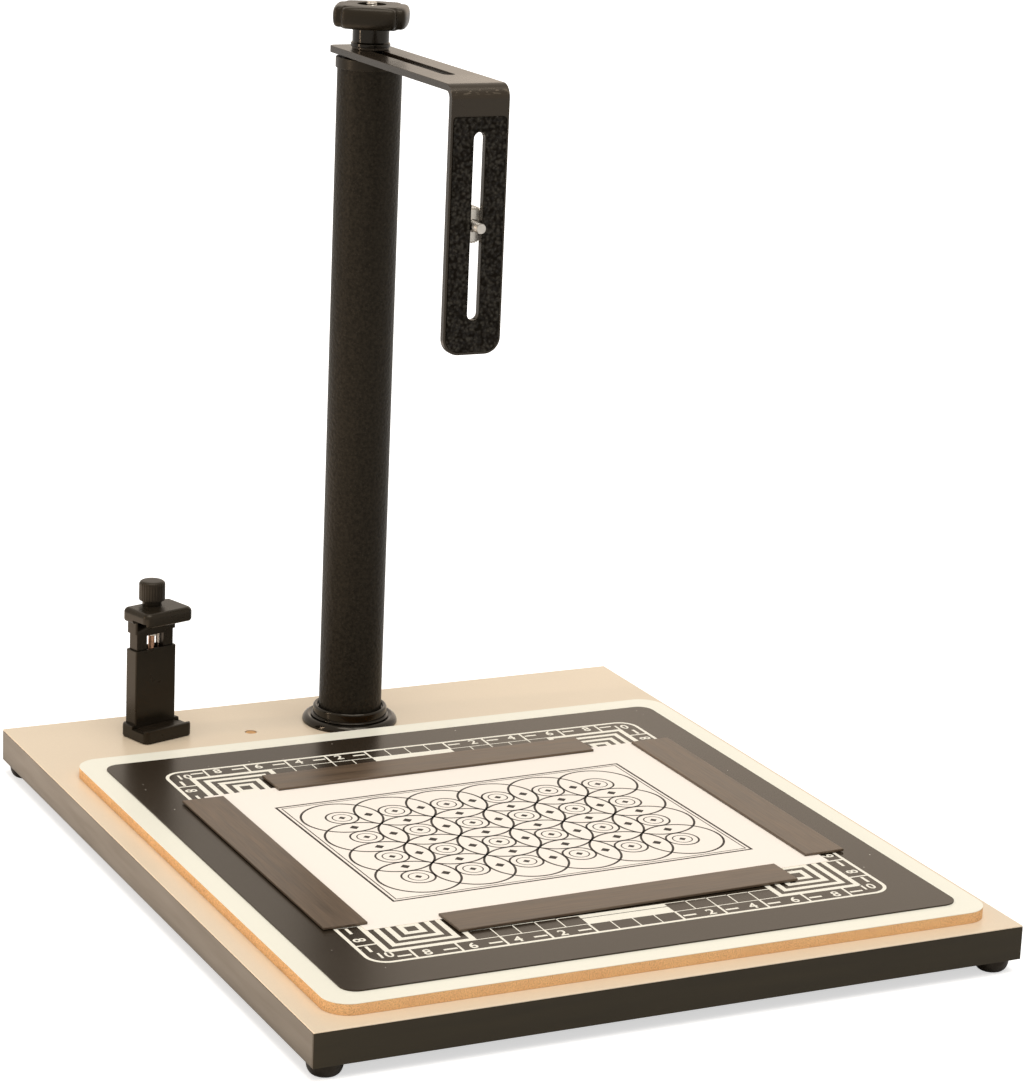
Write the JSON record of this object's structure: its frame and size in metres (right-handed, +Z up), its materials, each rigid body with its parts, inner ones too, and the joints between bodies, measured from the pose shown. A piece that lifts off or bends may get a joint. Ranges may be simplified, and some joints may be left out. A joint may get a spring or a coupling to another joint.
{
  "type": "copy stand",
  "caption": "Copy stand with a round column on a laminated baseboard, a slotted swing bracket, a removable magnetic board with bars and a loose phone clamp.",
  "frame": {"origin": "centre of the footprint, on the surface the feet stand on", "axes": "+X to the operator's right, +Y from the operator to the column, +Z up"},
  "size_m": [0.4064, 0.4826, 0.4649],
  "materials": {
    "beige_laminate": "smooth beige laminate with a faint sheen",
    "particle_board": "raw particle board",
    "backer_sheet": "dull backing sheet",
    "dark_band": "satin dark brown edge band",
    "black_rubber": "matt rubber",
    "raw_wood": "raw wood end grain",
    "textured_black": "fine textured black coating",
    "gloss_black": "glossy black moulding",
    "moulded_black": "satin moulded black",
    "clamp_plastic": "matt moulded black",
    "satin_black": "satin black paint on a steel bar",
    "zinc_steel": "zinc-plated steel",
    "brass": "turned brass",
    "dark_fibre": "vulcanised fibre",
    "board_fibre": "raw fibreboard edge",
    "pale_face": "smooth off-white face",
    "mat_black": "satin dark mat with white printed scales",
    "paper": "printed paper",
    "magnet_rubber": "satin dark brown flexible magnet"
  },
  "bodies": {
    "root": {"base_core": "particle_board", "base_laminate": "beige_laminate", "base_backer": "backer_sheet", "edge_band_front": "dark_band", "edge_band_back": "dark_band", "edge_band_left": "dark_band", "edge_band_right": "dark_band", "base_hole_plug": "raw_wood", "foot_front_left": "black_rubber", "foot_front_right": "black_rubber", "foot_back_left": "black_rubber", "foot_back_right": "black_rubber", "foot_screw_front_left": "zinc_steel", "foot_screw_front_right": "zinc_steel", "foot_screw_back_left": "zinc_steel", "foot_screw_back_right": "zinc_steel", "column_tube": "textured_black", "column_flange": "gloss_black", "column_bottom_plug": "zinc_steel", "column_top_plug": "zinc_steel", "column_cap": "moulded_black", "column_stud": "zinc_steel", "column_bolt": "zinc_steel", "column_bolt_washer": "zinc_steel"},
    "swing_disc": {"friction_disc": "dark_fibre"},
    "bracket": {"arm_bracket": "satin_black", "bracket_pad": "black_rubber"},
    "knob_lift": {"knob_washer": "satin_black"},
    "knob": {"star_knob": "moulded_black", "knob_insert": "brass"},
    "camera_screw_carrier": {"camera_screw_washer": "zinc_steel"},
    "camera_thumbscrew": {"camera_screw": "zinc_steel"},
    "board": {"board_core": "board_fibre", "board_face": "pale_face", "board_mat": "mat_black"},
    "sheet": {"sample_sheet": "paper"},
    "bar_left": {"magnet_bar_left": "magnet_rubber"},
    "bar_right": {"magnet_bar_right": "magnet_rubber"},
    "bar_front": {"magnet_bar_front": "magnet_rubber"},
    "bar_back": {"magnet_bar_back": "magnet_rubber"},
    "clamp": {"clamp_body": "clamp_plastic", "clamp_lower_pad": "black_rubber", "clamp_tripod_insert": "brass", "clamp_nut": "brass"},
    "clamp_jaw": {"clamp_upper_jaw": "clamp_plastic", "clamp_upper_pad": "black_rubber", "clamp_guide_rod_left": "zinc_steel", "clamp_guide_rod_right": "zinc_steel"},
    "clamp_grip": {"clamp_screw": "brass", "clamp_keeper_ring": "zinc_steel", "clamp_knob": "clamp_plastic"}
  },
  "joints": [
    {"name": "bracket_swing", "type": "hinge", "parent": "root", "child": "swing_disc", "pos_m": [0.0015, 0.1917, 0.43345], "axis": [0, 0, 1], "continuous": true},
    {"name": "bracket_slide", "type": "slide", "parent": "swing_disc", "child": "bracket", "axis": [0, 1, 0], "range_m": [-0.0047, 0.1075]},
    {"name": "knob_rise", "type": "slide", "parent": "root", "child": "knob_lift", "axis": [0, 0, 1], "range_m": [0, 0.00765]},
    {"name": "star_knob_spin", "type": "hinge", "parent": "knob_lift", "child": "knob", "pos_m": [0.0015, 0.1917, 0.455], "axis": [0, 0, 1], "range_deg": [0, 2160]},
    {"name": "camera_screw_shift", "type": "slide", "parent": "bracket", "child": "camera_screw_carrier", "axis": [0, 0, 1], "range_m": [-0.048, 0.048]},
    {"name": "camera_screw_spin", "type": "hinge", "parent": "camera_screw_carrier", "child": "camera_thumbscrew", "pos_m": [0.0015, 0.0445, 0.35925], "axis": [0, 1, 0], "continuous": true},
    {"name": "board_lift", "type": "slide", "parent": "root", "child": "board", "axis": [0, 0, 1], "range_m": [0, 0.05]},
    {"name": "sheet_slide", "type": "slide", "parent": "board", "child": "sheet", "axis": [0, 1, 0], "range_m": [-0.03, 0.03]},
    {"name": "bar_left_slide", "type": "slide", "parent": "board", "child": "bar_left", "axis": [1, 0, 0], "range_m": [-0.018, 0.028]},
    {"name": "bar_right_slide", "type": "slide", "parent": "board", "child": "bar_right", "axis": [1, 0, 0], "range_m": [-0.018, 0.016]},
    {"name": "bar_front_slide", "type": "slide", "parent": "board", "child": "bar_front", "axis": [0, 1, 0], "range_m": [-0.045, 0.058]},
    {"name": "bar_back_slide", "type": "slide", "parent": "board", "child": "bar_back", "axis": [0, 1, 0], "range_m": [-0.058, 0.04]},
    {"name": "clamp_lift", "type": "slide", "parent": "root", "child": "clamp", "axis": [0, 0, 1], "range_m": [0, 0.03]},
    {"name": "clamp_jaw_slide", "type": "slide", "parent": "clamp", "child": "clamp_jaw", "axis": [0, 0, 1], "range_m": [-0.00979, 0.02379]},
    {"name": "clamp_screw_spin", "type": "hinge", "parent": "clamp_jaw", "child": "clamp_grip", "pos_m": [-0.12212, 0.20764, 0.115], "axis": [0, 0, 1], "range_deg": [-5040, 12240]}
  ],
  "couplings": [
    {"joint": "knob_rise", "follows": "star_knob_spin", "m_per_rad": 0.00020213},
    {"joint": "clamp_screw_spin", "follows": "clamp_jaw_slide", "rad_per_m": 8976}
  ]
}
